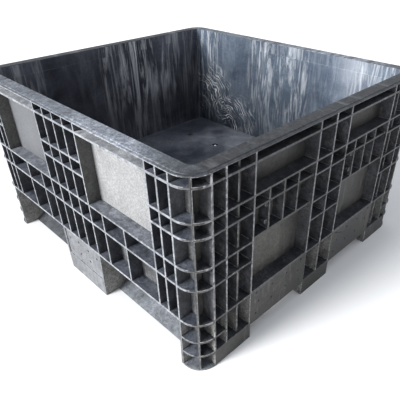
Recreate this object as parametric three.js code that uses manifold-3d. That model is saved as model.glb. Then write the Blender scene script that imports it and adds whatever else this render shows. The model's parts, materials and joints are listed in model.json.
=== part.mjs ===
// One-piece bulk box: ribbed outer walls, plain inside, feet and two fork ways under the floor.
// Millimetres, Z up, origin on the ground at the middle of the footprint.
// The long lit wall of the photograph is at -Y, the shaded wall with the low gaps is at +X.
import * as THREE from "three";
import { mergeVertices } from "three/addons/utils/BufferGeometryUtils.js";
import Module from "manifold-3d";

const wasm = await Module();
wasm.setup();

// Overall size.
const LENGTH = 1219;
const DEPTH = 1143;
const HEIGHT = 660;
const HALF_X = LENGTH / 2;
const HALF_Y = DEPTH / 2;
const CORNER_RADIUS = 66;
const CORNER_STEPS = 9;

// Wall build-up: open cells on the outside, then a closed skin, then the inside space.
const CELL_DEPTH = 44;
const WALL = 52;
const RIB = 6;
const PLATE = 7;
const OVERRUN = 6;

// Middle heights of the level plates that run round the box.
const LEVEL_SLOT = 626;
const LEVEL_BAND_TOP = 531;
const LEVEL_BAND_MID = 483.5;
const LEVEL_PANEL = 387;
const LEVEL_LOW = 319;
const LEVEL_FLOOR = 191;
const LEVEL_FOOT_HIGH = 122;
const LEVEL_FOOT_LOW = 63;

// Rim on top: a low step near the outer edge.
const RIM_THICK = 7;
const RIM_STEP_WIDE = 8;
const RIM_STEP_HIGH = 2.5;

// Upright ribs of the long walls: the middle ones from the middle of the wall, the others from its end.
const LONG_CENTRE_RIBS = [0, 60.4, 122.6];
const LONG_CORNER_INSETS = [160.5, 119.5, 74.5];
const LONG_CORNER_RIBS = LONG_CORNER_INSETS.map((inset) => HALF_X - inset);
const LONG_LOW_RIBS = [196, 308];

// Upright ribs of the short walls, measured in the same way.
const SHORT_CENTRE_RIBS = [0, 80];
const SHORT_CORNER_INSETS = [216, 165.5, 113.5, 66.5];
const SHORT_CORNER_RIBS = SHORT_CORNER_INSETS.map((inset) => HALF_Y - inset);
const SHORT_SET_BACK = 9;
const SHORT_PANEL_MID = (SHORT_CENTRE_RIBS[1] + SHORT_CORNER_RIBS[0]) / 2;
const SHORT_BAND_STEP = 64.5;
const SHORT_BAND_SET_BACK = 8;
const GUARD_TOP = LEVEL_FLOOR + PLATE;

// Inside space.
const FLOOR_TOP = 190;
const FLOOR_THICK = 9;
const INNER_RADIUS = 16;
const INNER_STEP_HEIGHT = 616;
const INNER_STEP = 2;
const DRAIN_X = [224, 406];
const DRAIN_Y = 312;
const DRAIN_SIZE = 24;

// Base: fork ways along Y, low gaps along X.
const WAY_TOP = FLOOR_TOP - FLOOR_THICK;
const WAY_MOUTH_TOP = LEVEL_FLOOR - PLATE / 2;
const WAY_INNER_LOW = 116;
const WAY_INNER_HIGH = 125.6;
const WAY_OUTER_LOW = HALF_X - 81.5;
const WAY_OUTER_HIGH = HALF_X - 77.5;
const GAP_HEIGHT = 57;
const MID_FOOT = 81;
const CORNER_FOOT_LONG = 219.5;
const CORNER_FOOT = HALF_Y - CORNER_FOOT_LONG;

// Bottom boards that tie the feet together under both fork ways.
const BOARD_FRONT = HALF_Y - WALL + 1;
const BOARD_BEVEL_RUN = 45;
const BOARD_HEIGHT = 27;
const BOARD_WIDE = 130;
const RIDGE_STEPS = 6;
const RIDGE_HIGH = 0.8;

// Shallow framed face of the middle feet on the long walls.
const FACE_HALF = 112;
const FACE_BOTTOM = 72;
const FACE_DEPTH = 4;

const SKIN = 8;

function toSolid(geometry) {
  const plain = geometry.clone();
  plain.deleteAttribute("normal");
  plain.deleteAttribute("uv");
  const welded = mergeVertices(plain, 1e-4);
  const mesh = new wasm.Mesh({
    numProp: 3,
    vertProperties: Float32Array.from(welded.attributes.position.array),
    triVerts: Uint32Array.from(welded.index.array),
  });
  return new wasm.Manifold(mesh);
}

function toGeometry(solid) {
  const mesh = solid.getMesh();
  const geometry = new THREE.BufferGeometry();
  geometry.setAttribute("position", new THREE.BufferAttribute(Float32Array.from(mesh.vertProperties), 3));
  geometry.setIndex(new THREE.BufferAttribute(Uint32Array.from(mesh.triVerts), 1));
  geometry.computeVertexNormals();
  return geometry;
}

function block(x0, x1, y0, y1, z0, z1) {
  const box = new THREE.BoxGeometry(Math.abs(x1 - x0), Math.abs(y1 - y0), Math.abs(z1 - z0));
  box.translate((x0 + x1) / 2, (y0 + y1) / 2, (z0 + z1) / 2);
  return toSolid(box);
}

// Upright prism over an outline given as [x, y] points.
function upright(points, z0, z1) {
  const shape = new THREE.Shape(points.map(([x, y]) => new THREE.Vector2(x, y)));
  const prism = new THREE.ExtrudeGeometry(shape, { depth: z1 - z0, bevelEnabled: false, steps: 1 });
  prism.translate(0, 0, z0);
  return toSolid(prism);
}

// Prism along Y over an outline given as [x, z] points.
function alongY(points, y0, y1) {
  const shape = new THREE.Shape(points.map(([x, z]) => new THREE.Vector2(x, z)));
  const prism = new THREE.ExtrudeGeometry(shape, { depth: y1 - y0, bevelEnabled: false, steps: 1 });
  prism.rotateX(Math.PI / 2);
  prism.translate(0, y1, 0);
  return toSolid(prism);
}

// Prism along X over an outline given as [y, z] points.
function alongX(points, x0, x1) {
  const shape = new THREE.Shape(points.map(([y, z]) => new THREE.Vector2(y, z)));
  const prism = new THREE.ExtrudeGeometry(shape, { depth: x1 - x0, bevelEnabled: false, steps: 1 });
  prism.rotateX(Math.PI / 2);
  prism.rotateZ(Math.PI / 2);
  prism.translate(x0, 0, 0);
  return toSolid(prism);
}

// Rounded rectangle round the origin, as points in order.
function roundedOutline(halfX, halfY, radius, steps) {
  const points = [];
  const centres = [[1, 1], [-1, 1], [-1, -1], [1, -1]];
  centres.forEach(([sx, sy], quarter) => {
    for (let i = 0; i <= steps; i += 1) {
      const angle = (quarter + i / steps) * (Math.PI / 2);
      const x = sx * (halfX - radius) + radius * Math.cos(angle);
      const y = sy * (halfY - radius) + radius * Math.sin(angle);
      points.push([x, y]);
    }
  });
  return points;
}

const SIDES = [-1, 1];

// Rows of open cells between neighbouring plates, top row first.
const ROW_LEVELS = [
  LEVEL_SLOT, LEVEL_BAND_TOP, LEVEL_BAND_MID, LEVEL_PANEL, LEVEL_LOW, LEVEL_FLOOR,
];

function rowsBetween(top, levels) {
  let above = top;
  return levels.map((level) => {
    const row = [level + PLATE / 2, above];
    above = level - PLATE / 2;
    return row;
  });
}

const ALL_ROWS = rowsBetween(HEIGHT - RIM_THICK, ROW_LEVELS);
const LOW_ROWS = ALL_ROWS.slice(4);
const SLOT_ROW = ALL_ROWS[0];

// Pocket cut into both long walls, a0..a1 measured along X, on one or both halves.
function cutLong(body, a0, a1, row, depth) {
  let left = body;
  for (const side of SIDES) {
    const outer = side * (HALF_Y + OVERRUN);
    const inner = side * (HALF_Y - depth);
    for (const half of SIDES) {
      left = left.subtract(block(half * a0, half * a1, inner, outer, row[0], row[1]));
    }
  }
  return left;
}

// Pocket cut into both short walls, a0..a1 measured along Y, on both halves.
function cutShort(body, a0, a1, row, depth) {
  let left = body;
  for (const side of SIDES) {
    const outer = side * (HALF_X + OVERRUN);
    const inner = side * (HALF_X - depth);
    for (const half of SIDES) {
      left = left.subtract(block(inner, outer, half * a0, half * a1, row[0], row[1]));
    }
  }
  return left;
}

// Cells between each pair of neighbouring ribs, for every given row.
function cutCells(cut, body, ribs, rows, depth) {
  let left = body;
  for (let i = 0; i + 1 < ribs.length; i += 1) {
    for (const row of rows) {
      left = cut(left, ribs[i] + RIB / 2, ribs[i + 1] - RIB / 2, row, depth);
    }
  }
  return left;
}

function outerBlock() {
  const outline = roundedOutline(HALF_X, HALF_Y, CORNER_RADIUS, CORNER_STEPS);
  const inset = roundedOutline(
    HALF_X - RIM_STEP_WIDE, HALF_Y - RIM_STEP_WIDE, CORNER_RADIUS - RIM_STEP_WIDE, CORNER_STEPS,
  );
  const lower = upright(outline, 0, HEIGHT - RIM_STEP_HIGH);
  return lower.add(upright(inset, HEIGHT - RIM_STEP_HIGH - 1, HEIGHT));
}

function cutInside(body) {
  const halfX = HALF_X - WALL;
  const halfY = HALF_Y - WALL;
  const main = roundedOutline(halfX, halfY, INNER_RADIUS, 4);
  const upper = roundedOutline(halfX + INNER_STEP, halfY + INNER_STEP, INNER_RADIUS + INNER_STEP, 4);
  return body
    .subtract(upright(main, FLOOR_TOP, HEIGHT + OVERRUN))
    .subtract(upright(upper, INNER_STEP_HEIGHT, HEIGHT + OVERRUN));
}

function longWalls(body) {
  const edge = LONG_CENTRE_RIBS[LONG_CENTRE_RIBS.length - 1];
  const far = LONG_CORNER_RIBS[0];
  const panelStart = edge + RIB / 2;
  const panelEnd = far - RIB / 2;
  let left = cutCells(cutLong, body, LONG_CENTRE_RIBS, ALL_ROWS, CELL_DEPTH);
  left = cutCells(cutLong, left, LONG_CORNER_RIBS, ALL_ROWS, CELL_DEPTH);
  left = cutLong(left, panelStart, panelEnd, SLOT_ROW, CELL_DEPTH);
  const panel = [LEVEL_PANEL + PLATE / 2, LEVEL_SLOT - PLATE / 2];
  left = cutLong(left, panelStart, panelEnd, panel, CELL_DEPTH);
  return cutCells(cutLong, left, [edge, ...LONG_LOW_RIBS, far], LOW_ROWS, CELL_DEPTH);
}

// Foot cells of the short walls, below the floor plate and above the plain foot band.
function shortFootCells(body) {
  const lowRow = [LEVEL_FOOT_LOW + PLATE / 2, LEVEL_FLOOR - PLATE / 2];
  const [inner, next, third, outer] = SHORT_CORNER_RIBS;
  let left = cutCells(cutShort, body, SHORT_CENTRE_RIBS, [lowRow], CELL_DEPTH);
  left = cutCells(cutShort, left, [inner, next, third], [lowRow], CELL_DEPTH);
  const splitRows = rowsBetween(lowRow[1], [LEVEL_FOOT_HIGH, LEVEL_FOOT_LOW]);
  left = cutCells(cutShort, left, [third, outer], splitRows, CELL_DEPTH);
  return cutShort(left, inner + RIB / 2, third - RIB / 2, lowRow, SHORT_SET_BACK);
}

function shortPanel(body) {
  const start = SHORT_CENTRE_RIBS[1] + RIB / 2;
  const end = SHORT_CORNER_RIBS[0] - RIB / 2;
  const bandRibs = [-1, 0, 1].map((k) => SHORT_PANEL_MID + k * SHORT_BAND_STEP);
  const bandEdges = [SHORT_CENTRE_RIBS[1], ...bandRibs, SHORT_CORNER_RIBS[0]];
  const bandTop = LEVEL_BAND_TOP - PLATE / 2;
  const upper = [LEVEL_BAND_TOP + PLATE / 2, LEVEL_SLOT - PLATE / 2];
  const lower = [GUARD_TOP, LEVEL_PANEL - PLATE / 2];
  let left = cutShort(body, start, end, SLOT_ROW, CELL_DEPTH);
  left = cutShort(left, start, end, upper, CELL_DEPTH);
  left = cutShort(left, start, end, [GUARD_TOP, bandTop], SHORT_BAND_SET_BACK);
  left = cutCells(cutShort, left, bandEdges, rowsBetween(bandTop, [LEVEL_BAND_MID, LEVEL_PANEL]), CELL_DEPTH);
  return cutShort(left, start, end, lower, CELL_DEPTH);
}

function shortWalls(body) {
  const [inner, , third] = SHORT_CORNER_RIBS;
  let left = cutCells(cutShort, body, SHORT_CENTRE_RIBS, ALL_ROWS, CELL_DEPTH);
  left = cutCells(cutShort, left, SHORT_CORNER_RIBS, ALL_ROWS, CELL_DEPTH);
  for (const row of ALL_ROWS) {
    left = cutShort(left, inner + RIB / 2, third - RIB / 2, row, SHORT_SET_BACK);
  }
  return shortFootCells(shortPanel(left));
}

// Rounded corners: one upright rib on the diagonal, cells to both sides of it.
function cornerWalls(body) {
  const rows = rowsBetween(HEIGHT - RIM_THICK, [...ROW_LEVELS, LEVEL_FOOT_HIGH, LEVEL_FOOT_LOW, 2]);
  const backX = HALF_X - CELL_DEPTH;
  const backY = HALF_Y - CELL_DEPTH;
  const startX = LONG_CORNER_RIBS[2] + RIB / 2;
  const startY = SHORT_CORNER_RIBS[3] + RIB / 2;
  const reach = CELL_DEPTH + OVERRUN * 4;
  const half = RIB / Math.SQRT2;
  const longCell = [
    [startX, backY], [backX - half, backY], [backX - half + reach, backY + reach], [startX, backY + reach],
  ];
  const shortCell = [
    [backX, startY], [backX + reach, startY], [backX + reach, backY - half + reach], [backX, backY - half],
  ];
  let left = body;
  for (const sx of SIDES) {
    for (const sy of SIDES) {
      for (const cell of [longCell, shortCell]) {
        const points = cell.map(([x, y]) => [sx * x, sy * y]);
        if (sx * sy < 0) points.reverse();
        for (const row of rows) {
          left = left.subtract(upright(points, row[0], row[1]));
        }
      }
    }
  }
  return left;
}

// Bottom board outline in Y and Z, front edge first, with fine steps up its bevel.
function boardOutline(side) {
  const points = [[BOARD_FRONT - BOARD_WIDE, 0], [BOARD_FRONT, 0]];
  for (let i = 1; i <= RIDGE_STEPS; i += 1) {
    const t = i / RIDGE_STEPS;
    const y = BOARD_FRONT - BOARD_BEVEL_RUN * t;
    const z = BOARD_HEIGHT * t;
    points.push([y + 1.5, z - RIDGE_HIGH]);
    points.push([y, z]);
  }
  points.push([BOARD_FRONT - BOARD_WIDE, BOARD_HEIGHT]);
  const placed = points.map(([y, z]) => [side * y, z]);
  return side < 0 ? placed.reverse() : placed;
}

function cutBase(body) {
  let left = body;
  for (const side of SIDES) {
    const way = [
      [side * WAY_INNER_LOW, -OVERRUN], [side * WAY_INNER_LOW, 0], [side * WAY_INNER_HIGH, WAY_TOP],
      [side * WAY_OUTER_HIGH, WAY_TOP], [side * WAY_OUTER_LOW, 0], [side * WAY_OUTER_LOW, -OVERRUN],
    ];
    if (side > 0) way.reverse();
    left = left.subtract(alongY(way, -HALF_Y - OVERRUN, HALF_Y + OVERRUN));
    for (const end of SIDES) {
      const mouth = [side * WAY_INNER_HIGH, side * WAY_OUTER_HIGH];
      const reachIn = [end * (HALF_Y - CELL_DEPTH), end * (HALF_Y + OVERRUN)];
      left = left.subtract(block(...mouth, ...reachIn, WAY_TOP, WAY_MOUTH_TOP));
    }
    const gapFrom = side * MID_FOOT;
    const gapTo = side * CORNER_FOOT;
    const reach = HALF_X + OVERRUN;
    left = left.subtract(block(-reach, reach, gapFrom, gapTo, -OVERRUN, GAP_HEIGHT));
  }
  for (const side of SIDES) {
    for (const half of SIDES) {
      const from = Math.min(half * (WAY_INNER_LOW - 4), half * (WAY_OUTER_LOW + 4));
      const to = Math.max(half * (WAY_INNER_LOW - 4), half * (WAY_OUTER_LOW + 4));
      left = left.add(alongX(boardOutline(side), from, to));
    }
  }
  return left;
}

// Hollows open to the ground in the feet and in the runners between them.
function hollowBase(body) {
  const top = FLOOR_TOP - FLOOR_THICK - SKIN;
  let left = body;
  for (const sx of SIDES) {
    for (const sy of SIDES) {
      const runX0 = sx * (WAY_OUTER_HIGH + SKIN);
      const runX1 = sx * (HALF_X - SKIN);
      const midX0 = sx * (RIB / 2 + 1);
      const midX1 = sx * (WAY_INNER_LOW - SKIN);
      const gapY0 = sy * (MID_FOOT + SKIN);
      const gapY1 = sy * (CORNER_FOOT - SKIN);
      const footY0 = sy * (CORNER_FOOT + SKIN);
      const footY1 = sy * (SHORT_CORNER_RIBS[3] - SKIN);
      const faceY1 = sy * (HALF_Y - FACE_DEPTH - SKIN);
      const footTop = LEVEL_FOOT_LOW - PLATE / 2;
      left = left.subtract(block(runX0, runX1, gapY0, gapY1, 0, top));
      left = left.subtract(block(runX0, runX1, footY0, footY1, -OVERRUN, footTop));
      left = left.subtract(block(runX0, runX1, 0, sy * (MID_FOOT - SKIN), -OVERRUN, footTop));
      left = left.subtract(block(midX0, midX1, gapY0, gapY1, 0, top));
      left = left.subtract(block(midX0, midX1, footY0, faceY1, -OVERRUN, top));
      left = left.subtract(block(midX0, midX1, 0, sy * (MID_FOOT - SKIN), -OVERRUN, top));
    }
  }
  return left;
}

function footFaces(body) {
  let left = body;
  for (const side of SIDES) {
    const front = side * (HALF_Y + OVERRUN);
    const back = side * (HALF_Y - FACE_DEPTH);
    left = left.subtract(block(-FACE_HALF, FACE_HALF, back, front, FACE_BOTTOM, LEVEL_FLOOR - PLATE / 2));
  }
  return left;
}

// Small half-round lumps on the outer band ribs of the short walls.
function bandLumps(body) {
  const radius = 7;
  const out = HALF_X - SHORT_BAND_SET_BACK - 6;
  const inner = out - 16;
  let left = body;
  for (const sx of SIDES) {
    for (const sy of SIDES) {
      for (const side of SIDES) {
        for (const z of [LEVEL_BAND_MID - 14, LEVEL_PANEL + 26]) {
          const y = sy * (SHORT_PANEL_MID + side * (SHORT_BAND_STEP + RIB / 2 + radius / 2));
          const lump = new THREE.CylinderGeometry(radius, radius, out - inner, 12);
          lump.rotateZ(Math.PI / 2);
          lump.translate((sx * (out + inner)) / 2, y, z);
          left = left.add(toSolid(lump));
        }
      }
    }
  }
  return left;
}

// Small square drain holes in the floor.
function drainHoles(body) {
  const half = DRAIN_SIZE / 2;
  let left = body;
  for (const sx of SIDES) {
    for (const x of DRAIN_X) {
      for (const sy of SIDES) {
        const [cx, cy] = [sx * x, sy * DRAIN_Y];
        left = left.subtract(
          block(cx - half, cx + half, cy - half, cy + half, WAY_TOP - OVERRUN, FLOOR_TOP + OVERRUN),
        );
      }
    }
  }
  return left;
}

function bodySolid() {
  let body = cutInside(outerBlock());
  body = longWalls(body);
  body = shortWalls(body);
  body = cornerWalls(body);
  body = cutBase(body);
  body = hollowBase(body);
  body = footFaces(body);
  body = bandLumps(body);
  return drainHoles(body);
}

const material = new THREE.MeshStandardMaterial({
  name: "recycled_black_plastic",
  color: 0x34363a,
  roughness: 0.62,
  metalness: 0.0,
});

const box = new THREE.Mesh(toGeometry(bodySolid()), material);
box.name = "box_body";

const root = new THREE.Group();
root.name = "bulk_pallet_box";
root.add(box);

export default root;
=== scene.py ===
"""A moulded black plastic pallet box, dressed in metres in the frame of its solid."""

from __future__ import annotations

import json
import logging
import math
from dataclasses import dataclass, field
from enum import IntEnum
from typing import Optional

import bpy
from mathutils import Matrix, Vector

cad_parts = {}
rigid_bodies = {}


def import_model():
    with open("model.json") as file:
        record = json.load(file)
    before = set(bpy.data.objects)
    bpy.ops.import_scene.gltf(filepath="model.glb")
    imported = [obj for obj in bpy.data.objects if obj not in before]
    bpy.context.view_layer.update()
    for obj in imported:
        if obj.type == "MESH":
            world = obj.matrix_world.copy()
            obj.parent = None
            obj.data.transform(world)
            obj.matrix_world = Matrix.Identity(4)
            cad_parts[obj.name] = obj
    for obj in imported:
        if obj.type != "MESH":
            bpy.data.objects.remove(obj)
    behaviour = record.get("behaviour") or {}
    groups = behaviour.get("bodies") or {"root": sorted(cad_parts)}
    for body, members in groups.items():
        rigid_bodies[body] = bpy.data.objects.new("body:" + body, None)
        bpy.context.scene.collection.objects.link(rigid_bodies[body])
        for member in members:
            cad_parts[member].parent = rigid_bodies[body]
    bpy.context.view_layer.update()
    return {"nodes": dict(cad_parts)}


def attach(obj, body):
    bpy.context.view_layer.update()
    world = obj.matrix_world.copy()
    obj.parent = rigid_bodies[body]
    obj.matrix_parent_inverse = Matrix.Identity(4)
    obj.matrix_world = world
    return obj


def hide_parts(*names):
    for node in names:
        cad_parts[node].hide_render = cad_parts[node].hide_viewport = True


log = logging.getLogger("pallet_box")

Colour = tuple[float, float, float]
Triple = tuple[float, float, float]
Stops = tuple[tuple[float, float], ...]

X_AXIS, Y_AXIS, Z_AXIS = 0, 1, 2

# How far a unit normal reaches along an axis, on a face that lies square to it and on one
# that only leans that way.
SQUARE = 0.7
LEANING = 0.3


class Zone(IntEnum):
    """The finishes of the box, in the order of the shell's material slots."""

    LONG_WALL = 0
    LONG_EDGE = 1
    SHORT_WALL = 2
    SHORT_EDGE = 3
    LEDGE = 4
    RIB_SIDE = 5
    RIM_TOP = 6
    INNER_END = 7
    INNER_LONG = 8
    INNER_FLOOR = 9
    FOOT = 10
    BOARD = 11
    PANEL_LEDGE = 12
    RIM_END = 13
    PANEL_SIDE = 14
    FOOT_FACE = 15
    SHORT_LEDGE = 16
    SLOT_LEDGE = 17
    END_RIB_SIDE = 18
    CELL_BACK = 19
    END_PANEL_SIDE = 20
    SHORT_BAR = 21


@dataclass(frozen=True)
class ScuffsAndPaintedLight:
    """Pale or dark rubbed marks that lie over a finish; spread over everything, the same mask
    also lays bands of painted light and shade.

    Args:
        colour: the colour of a mark.
        amount: how strongly a mark covers the finish where no bands are given, 0 to 1.
        scale: marks per metre across their length.
        stretch: how the pattern is squeezed along X, Y and Z; a low value draws it out.
        start: where in the noise a mark begins.
        end: where in the noise a mark is full.
        warp: how far the marks wander.
        axis: the axis that the bands are placed along.
        bands: where the marks gather, as pairs of a place and a strength, or empty for
            loose patches.
        heights: how strong the marks are at each height, as pairs of a height and a
            strength, or empty where they are the same all the way up.
    """

    colour: Colour
    amount: float = 0.5
    scale: float = 30.0
    stretch: Triple = (1.0, 1.0, 0.1)
    start: float = 0.52
    end: float = 0.66
    warp: float = 0.3
    axis: int = X_AXIS
    bands: Stops = ()
    heights: Stops = ()


@dataclass(frozen=True)
class Swirl:
    """Curved scratches that gather round one place on a wall.

    Args:
        colour: the colour of a scratch.
        middle: the middle of the scratched place.
        reach: how far the scratches go from it.
        hub: the point that the curves turn about.
        rings: scratches per metre.
        wander: how far a scratch strays from its curve, in metres.
        amount: how strongly a scratch covers the finish, 0 to 1.
    """

    colour: Colour
    middle: Triple
    reach: float
    hub: Triple
    rings: float = 95.0
    wander: float = 0.09
    amount: float = 0.9


@dataclass(frozen=True)
class Fade:
    """A slow change of brightness along one axis.

    Args:
        axis: the axis.
        stops: pairs of a place in metres and what the colour is multiplied by there.
    """

    axis: int
    stops: Stops


@dataclass(frozen=True)
class PlasticFinish:
    """One finish of the recycled plastic, worked out from the place on the object. Several
    finishes are lighter or darker copies of the same plastic, with painted light and shade in
    their colours.

    Args:
        name: the material's name.
        dark: the darker of the two tones of the plastic.
        light: the lighter tone.
        cloud_scale: clouds of the two tones per metre.
        grain_scale: grains per metre.
        grain: how far the grain darkens and lightens the colour, 0 to 1.
        mottle: how far small blotches darken and lighten the colour, 0 to 1.
        mottle_scale: blotches per metre.
        smooth: the roughness of the smoothest places.
        rough: the roughness of the dullest places.
        relief: the depth of the grain in metres.
        scuffs: the rubbed marks, or None.
        second: a second set of marks, or a band of painted light or shade, or None.
        swirls: places with curved scratches.
        fades: slow changes of brightness, most of them painted light and shade.
    """

    name: str
    dark: Colour
    light: Colour
    cloud_scale: float = 9.0
    grain_scale: float = 420.0
    grain: float = 0.25
    mottle: float = 0.3
    mottle_scale: float = 85.0
    smooth: float = 0.45
    rough: float = 0.7
    relief: float = 0.0003
    scuffs: Optional[ScuffsAndPaintedLight] = None
    second: Optional[ScuffsAndPaintedLight] = None
    swirls: tuple[Swirl, ...] = ()
    fades: tuple[Fade, ...] = ()

    def build(self) -> bpy.types.Material:
        """Make the material of this finish.

        Returns:
            The finished material.
        """
        material = bpy.data.materials.new(self.name)
        material.use_nodes = True
        tree = material.node_tree
        shader = tree.nodes["Principled BSDF"]
        shader.inputs["IOR"].default_value = 1.48
        place = tree.nodes.new("ShaderNodeTexCoord").outputs["Object"]
        clouds = self.noise(tree, place, self.cloud_scale, detail=5.0, roughness=0.62, warp=0.6)
        spread = self.span(tree, clouds, low=0.36, high=0.66)
        colour = self.blend(tree, spread, self.dark, self.light)
        grain = self.noise(tree, place, self.grain_scale, detail=2.0, roughness=0.6)
        speck = self.span(tree, grain, low=0.3, high=0.7, to_low=1.0 - self.grain,
                          to_high=1.0 + self.grain)
        colour = self.scale_colour(tree, colour, speck)
        blotches = self.noise(tree, place, self.mottle_scale, detail=4.0, roughness=0.7, warp=0.8)
        blotches = self.span(tree, blotches, low=0.36, high=0.64, to_low=1.0 - self.mottle,
                             to_high=1.0 + self.mottle)
        colour = self.scale_colour(tree, colour, blotches)
        dull = self.span(tree, clouds, low=0.3, high=0.7, to_low=self.smooth, to_high=self.rough)
        for marks in (self.scuffs, self.second):
            if marks is not None:
                mask = self.mark_mask(tree, place, marks)
                colour = self.blend(tree, mask, colour, marks.colour)
        for swirl in self.swirls:
            mask = self.swirl_mask(tree, place, swirl)
            colour = self.blend(tree, mask, colour, swirl.colour)
        for fade in self.fades:
            factor = self.profile(tree, place, fade.axis, fade.stops)
            colour = self.scale_colour(tree, colour, factor)
        tree.links.new(colour, shader.inputs["Base Color"])
        tree.links.new(dull, shader.inputs["Roughness"])
        bump = tree.nodes.new("ShaderNodeBump")
        bump.inputs["Distance"].default_value = self.relief
        tree.links.new(grain, bump.inputs["Height"])
        tree.links.new(bump.outputs["Normal"], shader.inputs["Normal"])
        return material

    @staticmethod
    def noise(tree: bpy.types.NodeTree, place: bpy.types.NodeSocket, scale: float,
              detail: float, roughness: float, warp: float = 0.0) -> bpy.types.NodeSocket:
        """Add a noise pattern.

        Args:
            tree: the material's nodes.
            place: the coordinates that it reads.
            scale: features per metre.
            detail: how many finer layers it has.
            roughness: how strong the finer layers are.
            warp: how far it is pulled about.

        Returns:
            The pattern, about 0 to 1.
        """
        node = tree.nodes.new("ShaderNodeTexNoise")
        node.inputs["Scale"].default_value = scale
        node.inputs["Detail"].default_value = detail
        node.inputs["Roughness"].default_value = roughness
        node.inputs["Distortion"].default_value = warp
        tree.links.new(place, node.inputs["Vector"])
        return node.outputs["Fac"]

    @staticmethod
    def span(tree: bpy.types.NodeTree, value: bpy.types.NodeSocket, low: float, high: float,
             to_low: float = 0.0, to_high: float = 1.0) -> bpy.types.NodeSocket:
        """Stretch part of a pattern over a new range, and clip the rest.

        Args:
            tree: the material's nodes.
            value: the pattern.
            low: the value that becomes to_low.
            high: the value that becomes to_high.
            to_low: the new lowest value.
            to_high: the new highest value.

        Returns:
            The stretched pattern.
        """
        node = tree.nodes.new("ShaderNodeMapRange")
        node.inputs["From Min"].default_value = low
        node.inputs["From Max"].default_value = high
        node.inputs["To Min"].default_value = to_low
        node.inputs["To Max"].default_value = to_high
        tree.links.new(value, node.inputs["Value"])
        return node.outputs["Result"]

    @staticmethod
    def blend(tree: bpy.types.NodeTree, factor: bpy.types.NodeSocket,
              first: bpy.types.NodeSocket | Colour, second: Colour) -> bpy.types.NodeSocket:
        """Blend a colour or a pattern of colour into a plain colour.

        Args:
            tree: the material's nodes.
            factor: 0 for the first colour, 1 for the second.
            first: a colour socket or a plain colour.
            second: a plain colour.

        Returns:
            The blended colour.
        """
        node = tree.nodes.new("ShaderNodeMix")
        node.data_type = "RGBA"
        tree.links.new(factor, node.inputs["Factor"])
        if isinstance(first, tuple):
            node.inputs["A"].default_value = (*first, 1.0)
        else:
            tree.links.new(first, node.inputs["A"])
        node.inputs["B"].default_value = (*second, 1.0)
        return node.outputs["Result"]

    @staticmethod
    def scale_colour(tree: bpy.types.NodeTree, colour: bpy.types.NodeSocket,
                     amount: bpy.types.NodeSocket) -> bpy.types.NodeSocket:
        """Brighten or darken a colour.

        Args:
            tree: the material's nodes.
            colour: the colour.
            amount: what it is multiplied by.

        Returns:
            The scaled colour.
        """
        node = tree.nodes.new("ShaderNodeVectorMath")
        node.operation = "SCALE"
        tree.links.new(colour, node.inputs["Vector"])
        tree.links.new(amount, node.inputs["Scale"])
        return node.outputs["Vector"]

    def mark_mask(self, tree: bpy.types.NodeTree, place: bpy.types.NodeSocket,
                  marks: ScuffsAndPaintedLight) -> bpy.types.NodeSocket:
        """Work out where a set of marks lies.

        Args:
            tree: the material's nodes.
            place: the coordinates of the object.
            marks: the marks.

        Returns:
            0 where there is no mark, up to the marks' amount.
        """
        turned = tree.nodes.new("ShaderNodeMapping")
        turned.inputs["Scale"].default_value = marks.stretch
        tree.links.new(place, turned.inputs["Vector"])
        lines = self.noise(tree, turned.outputs["Vector"], marks.scale, detail=6.0,
                           roughness=0.65, warp=marks.warp)
        lines = self.span(tree, lines, marks.start, marks.end)
        if marks.bands:
            patches = self.profile(tree, place, marks.axis, marks.bands)
        else:
            patches = self.noise(tree, place, 4.0, detail=2.0, roughness=0.5, warp=0.4)
            patches = self.span(tree, patches, low=0.38, high=0.6, to_high=marks.amount)
        if marks.heights:
            patches = self.times(tree, patches, self.profile(tree, place, Z_AXIS, marks.heights))
        return self.times(tree, lines, patches)

    def swirl_mask(self, tree: bpy.types.NodeTree, place: bpy.types.NodeSocket,
                   swirl: Swirl) -> bpy.types.NodeSocket:
        """Work out where the curved scratches of one place lie.

        Args:
            tree: the material's nodes.
            place: the coordinates of the object.
            swirl: the scratched place.

        Returns:
            0 where there is no scratch, up to the swirl's amount.
        """
        turn = tree.nodes.new("ShaderNodeVectorMath")
        turn.operation = "DISTANCE"
        turn.inputs[1].default_value = swirl.hub
        tree.links.new(place, turn.inputs[0])
        wander = self.noise(tree, place, 7.0, detail=3.0, roughness=0.55)
        wander = self.span(tree, wander, low=0.0, high=1.0, to_low=-swirl.wander,
                           to_high=swirl.wander)
        radius = tree.nodes.new("ShaderNodeMath")
        tree.links.new(turn.outputs["Value"], radius.inputs[0])
        tree.links.new(wander, radius.inputs[1])
        hairs = tree.nodes.new("ShaderNodeTexNoise")
        hairs.noise_dimensions = "1D"
        hairs.inputs["Scale"].default_value = swirl.rings
        hairs.inputs["Detail"].default_value = 3.0
        tree.links.new(radius.outputs["Value"], hairs.inputs["W"])
        lines = self.span(tree, hairs.outputs["Fac"], low=0.5, high=0.64)
        broken = self.noise(tree, place, 24.0, detail=2.0, roughness=0.5)
        broken = self.span(tree, broken, low=0.38, high=0.6, to_low=0.15)
        lines = self.times(tree, lines, broken)
        gap = tree.nodes.new("ShaderNodeVectorMath")
        gap.operation = "DISTANCE"
        gap.inputs[1].default_value = swirl.middle
        tree.links.new(place, gap.inputs[0])
        near = self.span(tree, gap.outputs["Value"], low=swirl.reach, high=swirl.reach * 0.35,
                         to_high=swirl.amount)
        return self.times(tree, lines, near)

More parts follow.
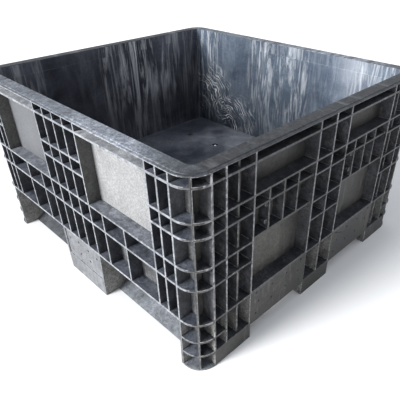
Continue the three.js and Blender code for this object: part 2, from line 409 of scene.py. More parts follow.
    def profile(self, tree: bpy.types.NodeTree, place: bpy.types.NodeSocket, axis: int,
                stops: Stops) -> bpy.types.NodeSocket:
        """Give a value that changes with the place along one axis.

        Args:
            tree: the material's nodes.
            place: the coordinates of the object.
            axis: the axis.
            stops: pairs of a place in metres and the value there, in order.

        Returns:
            The value.
        """
        apart = tree.nodes.new("ShaderNodeSeparateXYZ")
        tree.links.new(place, apart.inputs["Vector"])
        first, last = stops[0][0], stops[-1][0]
        along = self.span(tree, apart.outputs[axis], first, last)
        ramp = tree.nodes.new("ShaderNodeValToRGB")
        most = max(value for _, value in stops)
        for index, (spot, value) in enumerate(stops):
            if index < 2:
                mark = ramp.color_ramp.elements[index]
            else:
                mark = ramp.color_ramp.elements.new(1.0)
            mark.position = (spot - first) / (last - first)
            mark.color = (value / most, value / most, value / most, 1.0)
        tree.links.new(along, ramp.inputs["Fac"])
        return self.span(tree, ramp.outputs["Color"], low=0.0, high=1.0, to_high=most)

    @staticmethod
    def times(tree: bpy.types.NodeTree, first: bpy.types.NodeSocket,
              second: bpy.types.NodeSocket) -> bpy.types.NodeSocket:
        """Multiply two patterns.

        Args:
            tree: the material's nodes.
            first: one pattern.
            second: the other pattern.

        Returns:
            Their product.
        """
        node = tree.nodes.new("ShaderNodeMath")
        node.operation = "MULTIPLY"
        tree.links.new(first, node.inputs[0])
        tree.links.new(second, node.inputs[1])
        return node.outputs["Value"]


def finishes() -> dict[Zone, PlasticFinish]:
    """List the finish of every zone of the box.

    Returns:
        The finishes by zone.
    """
    even = (1.0, 1.0, 1.0)
    upright = (1.0, 1.0, 0.12)
    return {
        # Painted sheen: the long walls' pale tone is partly the chalky plastic and partly painted
        # sheen of the light glancing off them.
        Zone.LONG_WALL: PlasticFinish(
            "chalky_wall_painted_sheen", dark=(0.235, 0.236, 0.238), light=(0.285, 0.286, 0.287),
            cloud_scale=14.0, grain_scale=240.0, grain=0.26, mottle=0.1, smooth=0.5, rough=0.7,
            relief=0.0004,
            scuffs=ScuffsAndPaintedLight(
                (0.15, 0.15, 0.155), amount=0.25, scale=25.0, stretch=(1.0, 1.0, 0.25)),
            # Painted shade: this second set covers the far panel, towards -X, with a bluish tone.
            second=ScuffsAndPaintedLight(
                (0.22, 0.235, 0.268), amount=0.8, scale=9.0, stretch=even, start=0.0, end=0.05,
                axis=X_AXIS, bands=((-0.6, 0.5), (-0.1, 0.5), (0.0, 0.0), (0.6, 0.0))),
            # Painted shade: the fade darkens the far panel, towards -X, to about half.
            fades=(
                Fade(
                    axis=X_AXIS,
                    stops=(
                        (-0.5, 0.52), (-0.3, 0.48), (-0.12, 0.34), (0.1, 1.0), (0.5, 1.0))),)),
        Zone.CELL_BACK: PlasticFinish(
            "cell_back", dark=(0.055, 0.056, 0.059), light=(0.12, 0.121, 0.124),
            cloud_scale=16.0, grain_scale=240.0, grain=0.35, mottle=0.35,
            scuffs=ScuffsAndPaintedLight(
                (0.03, 0.031, 0.034), amount=0.5, scale=40.0, stretch=(1.0, 1.0, 0.5)),
            second=ScuffsAndPaintedLight(
                (0.24, 0.24, 0.245), amount=0.4, scale=50.0, stretch=(1.0, 1.0, 0.2),
                start=0.54, end=0.66)),
        Zone.LONG_EDGE: PlasticFinish(
            "pale_rib_edge", dark=(0.14, 0.148, 0.163), light=(0.25, 0.258, 0.276),
            cloud_scale=30.0, mottle=0.45,
            scuffs=ScuffsAndPaintedLight(
                (0.38, 0.385, 0.4), amount=0.75, scale=70.0, stretch=even, start=0.48,
                end=0.6)),
        # Painted shade and light: the dark warm tone stands in for the shade and the weak warm
        # light on the short walls.
        Zone.SHORT_WALL: PlasticFinish(
            "shaded_wall", dark=(0.033, 0.032, 0.031), light=(0.082, 0.078, 0.069),
            cloud_scale=7.0, grain=0.4, mottle=0.3,
            scuffs=ScuffsAndPaintedLight(
                (0.27, 0.265, 0.25), amount=0.45, scale=46.0, stretch=upright, start=0.55,
                end=0.66),
            fades=(
                # Painted shadow: a step darker between y = -0.17 and y = 0.
                Fade(
                    axis=Y_AXIS,
                    stops=(
                        (-0.6, 1.15), (-0.18, 1.15), (-0.17, 0.75), (0.0, 0.75), (0.05, 1.0),
                        (0.6, 1.0))),
                # Painted shade: darker below 0.19 m and in the upper band under the rim.
                Fade(
                    axis=Z_AXIS,
                    stops=(
                        (0.0, 0.7), (0.185, 0.7), (0.2, 1.05), (0.39, 1.0), (0.52, 0.6),
                        (0.66, 0.75))))),
        Zone.SHORT_EDGE: PlasticFinish(
            "scuffed_rib_edge", dark=(0.1, 0.1, 0.104), light=(0.21, 0.21, 0.216),
            cloud_scale=30.0, mottle=0.55,
            scuffs=ScuffsAndPaintedLight(
                (0.5, 0.5, 0.505), amount=0.85, scale=90.0, stretch=even, start=0.47, end=0.6)),
        Zone.SHORT_BAR: PlasticFinish(
            "level_rib_edge", dark=(0.035, 0.035, 0.038), light=(0.085, 0.085, 0.089),
            cloud_scale=30.0, mottle=0.5,
            scuffs=ScuffsAndPaintedLight(
                (0.26, 0.26, 0.265), amount=0.6, scale=90.0, stretch=even, start=0.5,
                end=0.63)),
        # Painted shade: the ledges in the cells are a darker, bluish copy of the panel ledges'
        # plastic.
        Zone.LEDGE: PlasticFinish(
            "cell_ledge", dark=(0.036, 0.041, 0.054), light=(0.1, 0.11, 0.134),
            cloud_scale=22.0, grain=0.3, mottle=0.5,
            scuffs=ScuffsAndPaintedLight(
                (0.15, 0.155, 0.17), amount=0.4, scale=45.0, stretch=even, start=0.54,
                end=0.66)),
        Zone.PANEL_LEDGE: PlasticFinish(
            "panel_ledge", dark=(0.09, 0.1, 0.12), light=(0.19, 0.2, 0.225), cloud_scale=18.0,
            grain=0.3, mottle=0.45,
            scuffs=ScuffsAndPaintedLight(
                (0.035, 0.04, 0.05), amount=0.6, scale=35.0, stretch=even, start=0.5,
                end=0.62)),
        # Painted shade: the short walls' ledges are a still darker copy of the ledge plastic.
        Zone.SHORT_LEDGE: PlasticFinish(
            "short_ledge", dark=(0.02, 0.021, 0.026), light=(0.05, 0.052, 0.058),
            cloud_scale=18.0, grain=0.3, mottle=0.6,
            scuffs=ScuffsAndPaintedLight(
                (0.12, 0.12, 0.12), amount=0.4, scale=45.0, stretch=even, start=0.56,
                end=0.68)),
        # Painted shade: the darkest bluish plastic stands in for the shade in the narrow cells,
        # and zone_of also gives it to the pin dents, to faces that look down and to the band
        # under the rim.
        Zone.RIB_SIDE: PlasticFinish(
            "rib_side", dark=(0.014, 0.016, 0.022), light=(0.045, 0.048, 0.057),
            cloud_scale=16.0, grain=0.35, mottle=0.5,
            scuffs=ScuffsAndPaintedLight(
                (0.12, 0.12, 0.125), amount=0.45, scale=50.0, stretch=(1.0, 1.0, 0.25))),
        Zone.END_RIB_SIDE: PlasticFinish(
            "end_rib_side", dark=(0.028, 0.029, 0.033), light=(0.085, 0.086, 0.092),
            cloud_scale=16.0, grain=0.35, mottle=0.55,
            scuffs=ScuffsAndPaintedLight(
                (0.14, 0.14, 0.145), amount=0.45, scale=50.0, stretch=(1.0, 1.0, 0.25))),
        Zone.END_PANEL_SIDE: PlasticFinish(
            "end_panel_side", dark=(0.04, 0.041, 0.045), light=(0.095, 0.096, 0.102),
            cloud_scale=14.0, grain=0.4, mottle=0.4,
            scuffs=ScuffsAndPaintedLight((0.2, 0.2, 0.205), amount=0.5, scale=50.0, stretch=(1.0, 1.0, 0.25))),
        # Painted light: the ledges in the slot under the rim, lit from above, are a pale copy of
        # the ledge plastic.
        Zone.SLOT_LEDGE: PlasticFinish(
            "slot_ledge", dark=(0.27, 0.282, 0.305), light=(0.42, 0.435, 0.46),
            cloud_scale=18.0, grain=0.3, mottle=0.35,
            scuffs=ScuffsAndPaintedLight(
                (0.1, 0.105, 0.12), amount=0.5, scale=35.0, stretch=even, start=0.52,
                end=0.64)),
        Zone.PANEL_SIDE: PlasticFinish(
            "panel_side", dark=(0.05, 0.049, 0.047), light=(0.085, 0.083, 0.078),
            cloud_scale=14.0, grain=0.4,
            scuffs=ScuffsAndPaintedLight(
                (0.025, 0.025, 0.026), amount=0.5, scale=40.0, stretch=(1.0, 1.0, 0.4))),
        # Painted glare and shade: the fade lightens the long rim up to 2.3 times around x = 0.36
        # and darkens it towards the +X end.
        Zone.RIM_TOP: PlasticFinish(
            "rim_handled_painted_glare", dark=(0.06, 0.067, 0.08), light=(0.12, 0.13, 0.148),
            cloud_scale=26.0, grain_scale=300.0, grain=0.45, mottle=0.5, relief=0.0006,
            scuffs=ScuffsAndPaintedLight(
                (0.24, 0.252, 0.275), amount=0.5, scale=55.0, stretch=even, start=0.53,
                end=0.66),
            second=ScuffsAndPaintedLight(
                (0.022, 0.025, 0.031), amount=0.8, scale=24.0, stretch=(1.0, 0.12, 1.0),
                start=0.53, end=0.62),
            fades=(
                Fade(
                    axis=X_AXIS,
                    stops=(
                        (-0.6, 1.15), (-0.1, 1.35), (0.36, 2.3), (0.5, 0.8), (0.61, 0.55))),)),
        # Painted shade: the rim's top along the short walls is a far darker copy of the rim
        # plastic.
        Zone.RIM_END: PlasticFinish(
            "rim_end_handled_painted_shade", dark=(0.016, 0.017, 0.02), light=(0.04, 0.042, 0.047),
            cloud_scale=26.0, grain_scale=300.0, grain=0.4, mottle=0.6, relief=0.0006,
            scuffs=ScuffsAndPaintedLight(
                (0.19, 0.19, 0.195), amount=0.5, scale=26.0, stretch=(0.12, 1.0, 1.0),
                start=0.52, end=0.64),
            second=ScuffsAndPaintedLight(
                (0.02, 0.021, 0.024), amount=0.5, scale=28.0, stretch=even, start=0.54,
                end=0.64)),
        # Partly painted reflection: the pale streaks are rubbing marks made paler to carry the
        # glossy reflection on them.
        Zone.INNER_END: PlasticFinish(
            "inner_end_wall", dark=(0.018, 0.019, 0.027), light=(0.075, 0.079, 0.098),
            cloud_scale=5.0, grain=0.35, mottle=0.2, smooth=0.3, rough=0.5,
            scuffs=ScuffsAndPaintedLight(
                (0.75, 0.76, 0.78), amount=0.6, scale=38.0, stretch=(1.0, 1.0, 0.09),
                start=0.47, end=0.68, warp=0.9, axis=Y_AXIS,
                bands=(
                    (-0.52, 0.3), (-0.36, 0.25), (-0.3, 0.0), (-0.08, 0.05), (-0.03, 0.6),
                    (0.03, 0.4), (0.09, 0.8), (0.16, 1.0), (0.22, 0.5), (0.33, 0.5),
                    (0.41, 0.25), (0.52, 0.25)),
                heights=((0.19, 0.2), (0.32, 0.28), (0.46, 0.9), (0.66, 1.0))),
            # Painted light: the wall brightens towards the rim, where light falls in over it.
            fades=(
                Fade(
                    axis=Z_AXIS, stops=((0.19, 1.0), (0.35, 0.9), (0.5, 1.15), (0.66, 1.5))),)),
        # Painted reflection: the bluish tone stands in for the sky reflected in this wall.
        Zone.INNER_LONG: PlasticFinish(
            "inner_long_wall", dark=(0.022, 0.034, 0.056), light=(0.055, 0.077, 0.108),
            cloud_scale=6.0, grain=0.35, mottle=0.18, smooth=0.3, rough=0.5,
            scuffs=ScuffsAndPaintedLight(
                (0.5, 0.52, 0.55), amount=0.6, scale=44.0, stretch=(1.0, 1.0, 0.11), start=0.47,
                end=0.7, warp=1.6, axis=X_AXIS,
                bands=(
                    (-0.56, 0.6), (-0.5, 1.1), (-0.45, 0.9), (-0.4, 0.12), (-0.22, 0.04),
                    (-0.16, 0.7), (-0.03, 0.7), (0.1, 0.6), (0.17, 0.12), (0.33, 0.15),
                    (0.43, 0.6), (0.56, 0.7)),
                heights=((0.19, 0.5), (0.35, 0.7), (0.5, 1.0), (0.66, 1.0))),
            # Painted light: this second set is a wide pale cloud, strongest high up around x =
            # 0.36.
            second=ScuffsAndPaintedLight(
                (0.36, 0.366, 0.38), amount=0.5, scale=5.0, stretch=(1.0, 1.0, 0.5), start=0.28,
                end=0.8, warp=0.3, axis=X_AXIS,
                bands=(
                    (-0.56, 0.12), (-0.2, 0.1), (0.1, 0.12), (0.24, 0.18), (0.36, 0.45),
                    (0.45, 0.28), (0.56, 0.22)),
                heights=((0.19, 0.2), (0.45, 0.6), (0.6, 1.0), (0.66, 1.0))),
            swirls=(
                Swirl(
                    (0.85, 0.88, 0.92), middle=(-0.46, 0.52, 0.36), reach=0.17,
                    hub=(-0.66, 0.52, 0.2)),
                Swirl(
                    (0.85, 0.88, 0.92), middle=(-0.28, 0.52, 0.25), reach=0.15,
                    hub=(-0.44, 0.52, 0.1))),
            # Painted highlight and shade: brighter around x = 0.36 and towards the rim, darker
            # towards the floor.
            fades=(
                Fade(
                    axis=X_AXIS,
                    stops=(
                        (-0.56, 0.95), (-0.2, 0.82), (0.2, 1.05), (0.36, 1.55), (0.56, 1.05))),
                Fade(axis=Z_AXIS, stops=((0.19, 0.4), (0.4, 0.65), (0.6, 1.25), (0.66, 1.3))))),
        Zone.INNER_FLOOR: PlasticFinish(
            "loaded_floor", dark=(0.04, 0.046, 0.062), light=(0.15, 0.16, 0.186),
            cloud_scale=4.0, mottle=0.2, smooth=0.3, rough=0.5,
            scuffs=ScuffsAndPaintedLight(
                (0.25, 0.265, 0.29), amount=0.6, scale=9.0, stretch=even, start=0.5, end=0.66,
                warp=1.4),
            second=ScuffsAndPaintedLight(
                (0.3, 0.31, 0.33), amount=0.3, scale=60.0, stretch=even, start=0.6, end=0.7)),
        Zone.FOOT: PlasticFinish(
            "foot_wall", dark=(0.13, 0.127, 0.121), light=(0.23, 0.226, 0.217),
            cloud_scale=18.0, grain_scale=240.0, grain=0.45, mottle=0.35,
            scuffs=ScuffsAndPaintedLight((0.03, 0.03, 0.03), amount=0.6, scale=45.0, stretch=(1.0, 1.0, 0.6))),
        Zone.FOOT_FACE: PlasticFinish(
            "foot_face", dark=(0.1, 0.104, 0.112), light=(0.17, 0.175, 0.185), cloud_scale=20.0,
            grain=0.4, mottle=0.25,
            scuffs=ScuffsAndPaintedLight(
                (0.3, 0.305, 0.315), amount=0.5, scale=40.0, stretch=(1.0, 1.0, 0.3), start=0.5,
                end=0.64)),
        Zone.BOARD: PlasticFinish(
            "bottom_board", dark=(0.08, 0.088, 0.1), light=(0.16, 0.172, 0.195),
            cloud_scale=16.0, grain=0.35, mottle=0.4,
            scuffs=ScuffsAndPaintedLight(
                (0.27, 0.28, 0.3), amount=0.5, scale=40.0, stretch=(0.3, 1.0, 1.0), start=0.52,
                end=0.66),
            fades=(
                Fade(
                    axis=X_AXIS,
                    stops=(
                        (-0.56, 0.42), (-0.2, 0.46), (0.0, 0.75), (0.2, 1.0), (0.56, 1.1))),)),
    }


def pick(obj: bpy.types.Object) -> None:
    """Select one object alone and make it active.

    Args:
        obj: the object to work on.
    """
    bpy.ops.object.select_all(action="DESELECT")
    obj.select_set(True)
    bpy.context.view_layer.objects.active = obj


@dataclass
class PinMarks:
    """The small round dents that the moulding pins left, as one cutter.

    Args:
        radius: the radius at the surface.
        depth: how deep a dent is.
        guard_middle: how far the middle of a guard panel is from the box's middle.
        guard_face: how far out the guard panels' faces are.
        guard_pairs: each dent's place on a guard panel, off its middle and above the ground.
        foot_face: how far out the middle feet's faces are.
        foot_pairs: each dent's place on a middle foot's face.
    """

    radius: float = 0.0036
    depth: float = 0.0034
    guard_middle: float = 0.21775
    guard_face: float = 0.6095
    guard_pairs: Stops = (
        (-0.112, 0.180), (0.112, 0.180), (-0.112, 0.092), (0.112, 0.092),
        (-0.036, 0.166), (0.036, 0.166), (-0.036, 0.110), (0.036, 0.110),
        (-0.100, 0.138), (0.100, 0.138))
    foot_face: float = 0.5675
    foot_pairs: Stops = (
        (-0.027, 0.161), (-0.027, 0.107), (0.036, 0.155), (0.036, 0.108), (0.09, 0.149),
        (-0.09, 0.150))

    def build(self) -> bpy.types.Object:
        """Make the cutter that holds every dent.

        Returns:
            One object of small tapered pins, half sunk in the faces.
        """
        first = self.pin()
        for spot, outward in self.spots():
            self.place(first, spot, outward)
        bpy.data.objects.remove(first)
        copies = [o for o in bpy.data.objects if o.name.startswith("pin_copy")]
        pick(copies[0])
        for copy in copies:
            copy.select_set(True)
        bpy.ops.object.join()
        return copies[0]

    def spots(self) -> list[tuple[Vector, Vector]]:
        """List every dent.

        Returns:
            The middle of each dent and the way its surface faces.
        """
        found: list[tuple[Vector, Vector]] = []
        for side in (-1.0, 1.0):
            outward = Vector((side, 0.0, 0.0))
            for middle in (-self.guard_middle, self.guard_middle):
                for across, up in self.guard_pairs:
                    spot = Vector((side * self.guard_face, middle + across, up))
                    found.append((spot, outward))
            outward = Vector((0.0, side, 0.0))
            for across, up in self.foot_pairs:
                found.append((Vector((across, side * self.foot_face, up)), outward))
        return found

    def holds(self, middle: Vector) -> bool:
        """Say whether a face belongs to a dent.

        Args:
            middle: the middle of the face.

        Returns:
            True inside a dent or on its softened edge.
        """
        reach = self.radius * 1.75
        return any((middle - spot).length < reach for spot, _ in self.spots())

    def pin(self) -> bpy.types.Object:
        """Make the first pin, which stands on its narrow end.

        Returns:
            The pin, centred on the surface that it dents.
        """
        bpy.ops.object.select_all(action="DESELECT")
        bpy.ops.mesh.primitive_cone_add(vertices=16, radius1=self.radius * 0.7,
                                        radius2=self.radius * 1.3, depth=self.depth * 2.0)
        pin = bpy.context.active_object
        pin.name = "pin_first"
        return pin

    def place(self, first: bpy.types.Object, spot: Vector, outward: Vector) -> None:
        """Copy the pin to a place, wide end outwards.

        Args:
            first: the first pin.
            spot: a point on the surface.
            outward: the way the surface faces.
        """
        copy = bpy.data.objects.new("pin_copy", first.data.copy())
        turn = outward.to_track_quat("Z", "Y").to_matrix().to_4x4()
        copy.data.transform(Matrix.Translation(spot) @ turn)
        bpy.context.scene.collection.objects.link(copy)


@dataclass
class BoxShell:
    """The one-piece moulded box, with softened edges and its zones of finish.

    Args:
        node: the solid that it stands for.
        edge: how wide the softened edges are.
        outer_long: how far out the long walls' rib fronts are.
        outer_short: how far out the short walls' rib fronts are.
        inner_long: how far out the inner faces of the long walls are.
        inner_short: how far out the inner faces of the short walls are.
        floor_top: the height of the load floor.
        rim_top: the height of the rim.
        foot_top: the height where the feet and runners end.
        panel_from: how far from the middle a plain panel of a long wall starts.
        panel_to: how far from the middle it ends.
        panel_low: the height of its lower edge.
        recess_from: how far from the middle a recess of a short wall starts.
        recess_to: how far from the middle it ends.
        band_top: the height where the upper recesses of the short walls start.
        under_rim: how far below the rim's top the recesses end.
        rib_depth: how deep the cells between the ribs are, with a little to spare.
        rim_skin: how far below the rim's top a face still belongs to it.
        rim_step: how far below the rim's top its low outer step starts.
        step_low: how far below the rim's top the band under that step reaches.
        bar_end: how far from the middle the level ribs of a short wall reach.
        rim_end: how far from the middle the short side of the rim reaches.
        near_skin: how far a face may lie off the inner walls and still belong to them.
        floor_skin: how far below the load floor a face still belongs to the inside.
        floor_step: how far above the load floor a flat face still belongs to it.
        board_top: the height of the bottom boards.
        board_from: how far from the middle the sloped edges of the boards start.
        long_front: how deep the pale softened edges of a long wall are.
        short_front: how deep those of a short wall are.
        slot_low: the height above which a ledge lies in the slot under the rim.
        foot_half: half the length of a middle foot, with some to spare.
        front_skin: how far back a face still belongs to a rib's front.
        front_low: the height where the rib fronts start.
        corner_short: how far out along X the rib fronts of a corner start.
        corner_long: how far out along Y they start.
        corner_reach: how far a corner reaches along each wall.
        ahead: how far in front of a face to look for the recess that it bounds.
        panel_spare: how far beside a panel its ledges still count.
    """

    node: str = "box_body"
    edge: float = 0.0014
    outer_long: float = 0.5715
    outer_short: float = 0.6095
    inner_long: float = 0.5195
    inner_short: float = 0.5575
    floor_top: float = 0.190
    rim_top: float = 0.660
    foot_top: float = 0.1815
    panel_from: float = 0.1256
    panel_to: float = 0.446
    panel_low: float = 0.387
    recess_from: float = 0.083
    recess_to: float = 0.3525
    band_top: float = 0.531
    under_rim: float = 0.015
    rib_depth: float = 0.048
    rim_skin: float = 0.004
    rim_step: float = 0.0015
    step_low: float = 0.014
    bar_end: float = 0.49
    rim_end: float = 0.5
    near_skin: float = 0.004
    floor_skin: float = 0.002
    floor_step: float = 0.02
    board_top: float = 0.03
    board_from: float = 0.44
    long_front: float = 0.012
    short_front: float = 0.02
    slot_low: float = 0.61
    foot_half: float = 0.2
    front_skin: float = 0.0035
    front_low: float = 0.187
    corner_short: float = 0.57
    corner_long: float = 0.53
    corner_reach: float = 0.075
    ahead: float = 0.03
    panel_spare: float = 0.02
    marks: PinMarks = field(default_factory=PinMarks)
    piece: Optional[bpy.types.Object] = None

    def build(self, nodes: dict[str, bpy.types.Object]) -> bpy.types.Object:
        """Make the shell from a merged copy of the solid.

        Args:
            nodes: the solids of the frame by name.

        Returns:
            The shell.
        """
        shell = bpy.data.objects.new("box_shell", nodes[self.node].data.copy())
        bpy.context.scene.collection.objects.link(shell)
        self.piece = shell
        shell.data.materials.clear()
        table = finishes()
        for zone in Zone:
            shell.data.materials.append(table[zone].build())
            log.info("finish %s for zone %s", table[zone].name, zone.name)
        self.merge(shell)
        self.dent(shell)
        self.soften(shell)
        pick(shell)
        bpy.ops.object.shade_smooth_by_angle(angle=math.radians(32.0))
        weigh = shell.modifiers.new("flat_faces", "WEIGHTED_NORMAL")
        weigh.keep_sharp = True
        bpy.ops.object.modifier_apply(modifier=weigh.name)
        return shell

    def merge(self, shell: bpy.types.Object) -> None:
        """Join the loose triangles into one closed skin.

        Args:
            shell: the copy of the solid.
        """
        pick(shell)
        bpy.ops.object.mode_set(mode="EDIT")
        bpy.ops.mesh.select_all(action="SELECT")
        bpy.ops.mesh.remove_doubles(threshold=1e-5)
        bpy.ops.mesh.customdata_custom_splitnormals_clear()
        bpy.ops.object.mode_set(mode="OBJECT")
        for face in shell.data.polygons:
            face.material_index = Zone.RIB_SIDE

    def soften(self, shell: bpy.types.Object) -> None:
        """Round every edge a little, and mark the new faces as rubbed edges.

        Args:
            shell: the merged shell with its pin marks.
        """
        pick(shell)
        bevel = shell.modifiers.new("soft_edges", "BEVEL")
        bevel.width = self.edge
        bevel.segments = 2
        bevel.limit_method = "ANGLE"
        bevel.angle_limit = math.radians(25.0)
        bevel.use_clamp_overlap = False
        bevel.miter_outer = "MITER_SHARP"
        bevel.material = Zone.LONG_EDGE
        bpy.ops.object.modifier_apply(modifier=bevel.name)

    def dent(self, shell: bpy.types.Object) -> None:
        """Cut the pin marks.

        Args:
            shell: the merged shell.
        """
        cutter = self.marks.build()
        pick(shell)
        cut = shell.modifiers.new("pin_marks", "BOOLEAN")
        cut.operation = "DIFFERENCE"
        cut.solver = "EXACT"
        cut.object = cutter
        bpy.ops.object.modifier_apply(modifier=cut.name)
        bpy.data.objects.remove(cutter)
        bpy.ops.object.mode_set(mode="EDIT")
        bpy.ops.mesh.select_all(action="SELECT")
        bpy.ops.mesh.quads_convert_to_tris(quad_method="BEAUTY", ngon_method="BEAUTY")
        bpy.ops.object.mode_set(mode="OBJECT")

    def zone_of(self, middle: Vector, normal: Vector, rubbed: bool, level: bool) -> Zone:
        """Choose the finish of one face by its place and the way it faces.

        Args:
            middle: the middle of the face.
            normal: the way it faces.
            rubbed: whether it belongs to a softened edge.
            level: whether it is longer sideways than it is high.

        Returns:
            The zone of the face.
        """
        along, across, up = abs(middle.x), abs(middle.y), middle.z
        out_x = normal.x * math.copysign(1.0, middle.x)
        out_y = normal.y * math.copysign(1.0, middle.y)
        by_short = along - self.inner_short > across - self.inner_long
        bar = Zone.SHORT_BAR if level and across < self.bar_end else Zone.SHORT_EDGE
        if up > self.rim_top - self.rim_skin and normal.z > LEANING:
            # Painted shade: on the short walls the rim's top takes the darker rim copy, and the
            # step just below it the dark rib-side colour.
            if by_short and across < self.rim_end:
                return Zone.RIB_SIDE if up < self.rim_top - self.rim_step else Zone.RIM_END
            return Zone.RIM_TOP
        inside = (along < self.inner_short + self.near_skin
                  and across < self.inner_long + self.near_skin
                  and up > self.floor_top - self.floor_skin)
        if inside:
            if normal.z > SQUARE and up < self.floor_top + self.floor_step:
                return Zone.INNER_FLOOR
            return Zone.INNER_LONG if abs(normal.y) > abs(normal.x) else Zone.INNER_END
        if up < self.board_top and normal.z > 0.2 and across > self.board_from:
            return Zone.BOARD
        # Painted shade: the pin dents take the dark rib-side colour.
        if self.marks.holds(middle):
            return Zone.RIB_SIDE
        if rubbed:
            if across > self.outer_long - self.long_front and abs(normal.x) < 0.9:
                return Zone.LONG_EDGE
            if along > self.outer_short - self.short_front:
                return bar
            corner_line = by_short and abs(normal.y) > LEANING and normal.z > LEANING
            return Zone.SHORT_EDGE if corner_line else Zone.RIB_SIDE
        if (up < self.foot_top and across < self.outer_long - self.rib_depth
                and along < self.outer_short - self.rib_depth):
            return Zone.FOOT
        if normal.z > SQUARE:
            return self.ledge_zone(middle, by_short)
        # Painted shade: faces that look down take the dark rib-side colour.
        if normal.z < -SQUARE:
            return Zone.RIB_SIDE
        if out_y > SQUARE and not by_short:
            if up < self.foot_top and along < self.foot_half:
                return Zone.FOOT_FACE
            if self.is_front(across, self.outer_long, up):
                return Zone.LONG_EDGE
            return Zone.LONG_WALL if self.in_panel(middle, 0.0) else Zone.CELL_BACK
        if out_x > SQUARE and by_short:
            if self.is_front(along, self.outer_short, up):
                return bar
            # Painted shade: the band just under the rim takes the dark rib-side colour.
            return Zone.RIB_SIDE if up > self.rim_top - self.step_low else Zone.SHORT_WALL
        if out_x > LEANING and out_y > LEANING:
            front = along > self.corner_short and across > self.corner_long
            return Zone.SHORT_EDGE if front else Zone.CELL_BACK
        return self.side_zone(middle, normal, by_short)

    def ledge_zone(self, middle: Vector, by_short: bool) -> Zone:
        """Choose the finish of a level face between the ribs.

        Args:
            middle: the middle of the face.
            by_short: whether it belongs to a short wall.

        Returns:
            The zone of the face.
        """
        # The ledge zones are lit and shaded copies of one plastic: painted shade on the short
        # walls and in the cells, painted light in the slot under the rim.
        if by_short:
            return Zone.SHORT_LEDGE
        if middle.z > self.slot_low and self.panel_from < abs(middle.x) < self.panel_to:
            return Zone.SLOT_LEDGE
        return Zone.PANEL_LEDGE if self.in_panel(middle, self.panel_spare) else Zone.LEDGE

    def side_zone(self, middle: Vector, normal: Vector, by_short: bool) -> Zone:
        """Choose the finish of the side of an upright rib, a recess or a foot.

        Args:
            middle: the middle of the face.
            normal: the way it faces.
            by_short: whether it belongs to a short wall.

        Returns:
            The zone of the face.
        """
        if middle.z < self.foot_top:
            return Zone.FOOT
        before = middle + normal * self.ahead
        if not by_short and self.in_panel(before, 0.0):
            return Zone.PANEL_SIDE
        if by_short and self.in_end_recess(before):
            return Zone.END_PANEL_SIDE
        # Painted light: the sides of the corner cells take the lighter recess-side colour.
        if (abs(middle.x) > self.outer_short - self.corner_reach
                and abs(middle.y) > self.outer_long - self.corner_reach):
            return Zone.END_PANEL_SIDE
        return Zone.END_RIB_SIDE if by_short else Zone.RIB_SIDE

    def in_end_recess(self, spot: Vector) -> bool:
        """Say whether a point lies in one of the plain recesses of a short wall.

        Args:
            spot: the point.

        Returns:
            True in a recess.
        """
        beside = self.recess_from < abs(spot.y) < self.recess_to
        upper = self.band_top < spot.z < self.rim_top - self.under_rim
        lower = self.floor_top < spot.z < self.panel_low
        return beside and (upper or lower)

    def in_panel(self, spot: Vector, spare: float) -> bool:
        """Say whether a point lies in front of a plain panel of a long wall.

        Args:
            spot: the point.
            spare: how far below and beside the panel still counts.

        Returns:
            True in front of a panel.
        """
        along = abs(spot.x)
        return (self.panel_from - spare < along < self.panel_to + spare
                and self.panel_low - spare < spot.z < self.rim_top - self.under_rim)

    def is_front(self, distance: float, outer: float, up: float) -> bool:
        """Say whether a face is one of the narrow fronts of the ribs.

        Args:
            distance: how far out the face is.
            outer: how far out the wall's rib fronts are.
            up: the height of the face.

        Returns:
            True for a rib front.
        """
        return distance > outer - self.front_skin and up > self.front_low

    def dress(self) -> None:
        """Give each face the finish of its zone."""
        counts = [0] * len(Zone)
        for face in self.piece.data.polygons:
            rubbed = face.material_index == Zone.LONG_EDGE
            corners = [self.piece.data.vertices[i].co for i in face.vertices]
            sizes = [max(c[axis] for c in corners) - min(c[axis] for c in corners)
                     for axis in (X_AXIS, Y_AXIS, Z_AXIS)]
            level = sizes[Z_AXIS] < 0.5 * max(sizes)
            zone = self.zone_of(face.center, face.normal, rubbed, level)
            face.material_index = zone
            counts[zone] += 1
        log.info("faces by zone: %s", {z.name: counts[z] for z in Zone})

    def attach(self) -> None:
        """Tie the shell to the frame, in place of its solid."""
        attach(self.piece, "root")
        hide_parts(self.node)


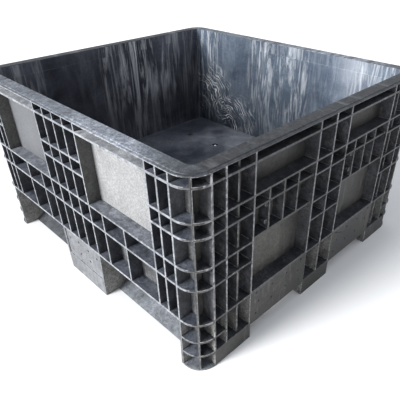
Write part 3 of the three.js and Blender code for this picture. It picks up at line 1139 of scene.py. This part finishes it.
@dataclass
class Studio:
    """The camera, the lights and the pale floor.

    Args:
        lens: the focal length in millimetres on a 36 mm sensor.
        shift: the camera's shift across and up.
        seat: where the camera stands.
        axes: the camera's right, up and back axes, as the rows of a matrix.
        key_strength: the strength of the sun that stands for the main soft light.
        key_from: the direction that the main light comes from.
        key_spread: how wide the main light is, in degrees.
        room: the colour of the room's even light.
        room_strength: its strength.
        floor_size: the side of the floor.
        floor_gap: how far the floor lies below the feet.
    """

    lens: float = 39.146
    shift: tuple[float, float] = (-0.05174, 0.04627)
    seat: Triple = (1.217824, -1.082477, 1.103710)
    axes: tuple[Triple, Triple, Triple] = (
        (0.7077254, -0.3918411, 0.5878650),
        (0.7064424, 0.4019123, -0.5825853),
        (-0.0079893, 0.8276032, 0.5612567))
    key_strength: float = 6.0
    key_from: Triple = (-0.22, -0.88, 0.42)
    key_spread: float = 22.0
    room: Colour = (0.90, 0.94, 1.0)
    room_strength: float = 0.72
    floor_size: float = 40.0
    floor_gap: float = 0.0005

    def camera(self) -> None:
        """Set up the camera at the photograph's angle."""
        data = bpy.data.cameras.new("camera")
        data.sensor_width = 36.0
        data.lens = self.lens
        data.shift_x, data.shift_y = self.shift
        camera = bpy.data.objects.new("camera", data)
        camera.matrix_world = Matrix.Translation(self.seat) @ Matrix(self.axes).to_4x4()
        bpy.context.scene.collection.objects.link(camera)
        bpy.context.scene.camera = camera

    def lights(self) -> None:
        """Set up the main light and the room's even light."""
        data = bpy.data.lights.new("key", "SUN")
        data.energy = self.key_strength
        data.angle = math.radians(self.key_spread)
        key = bpy.data.objects.new("key", data)
        key.rotation_euler = Vector(self.key_from).to_track_quat("Z", "Y").to_euler()
        bpy.context.scene.collection.objects.link(key)
        world = bpy.data.worlds.new("room")
        world.use_nodes = True
        back = world.node_tree.nodes["Background"]
        back.inputs["Color"].default_value = (*self.room, 1.0)
        back.inputs["Strength"].default_value = self.room_strength
        bpy.context.scene.world = world
        bpy.context.scene.view_settings.view_transform = "Standard"

    def floor(self) -> None:
        """Lay the plain pale floor."""
        bpy.ops.object.select_all(action="DESELECT")
        bpy.ops.mesh.primitive_plane_add(size=self.floor_size,
                                         location=(0.0, 0.0, -self.floor_gap))
        floor = bpy.context.active_object
        floor.name = "floor"
        material = bpy.data.materials.new("pale_floor")
        material.use_nodes = True
        shader = material.node_tree.nodes["Principled BSDF"]
        shader.inputs["Base Color"].default_value = (0.9, 0.9, 0.9, 1.0)
        shader.inputs["Roughness"].default_value = 0.9
        shader.inputs["Specular IOR Level"].default_value = 0.0
        floor.data.materials.append(material)


def main() -> None:
    """Build the box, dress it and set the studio."""
    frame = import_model()
    studio = Studio()
    studio.camera()
    shell = BoxShell()
    shell.build(frame["nodes"])
    shell.dress()
    shell.attach()
    log.info("%s: %d faces", shell.piece.name, len(shell.piece.data.polygons))
    studio.lights()
    studio.floor()


if __name__ == "__main__":
    logging.basicConfig(level=logging.INFO, format="%(name)s: %(message)s")
    main()
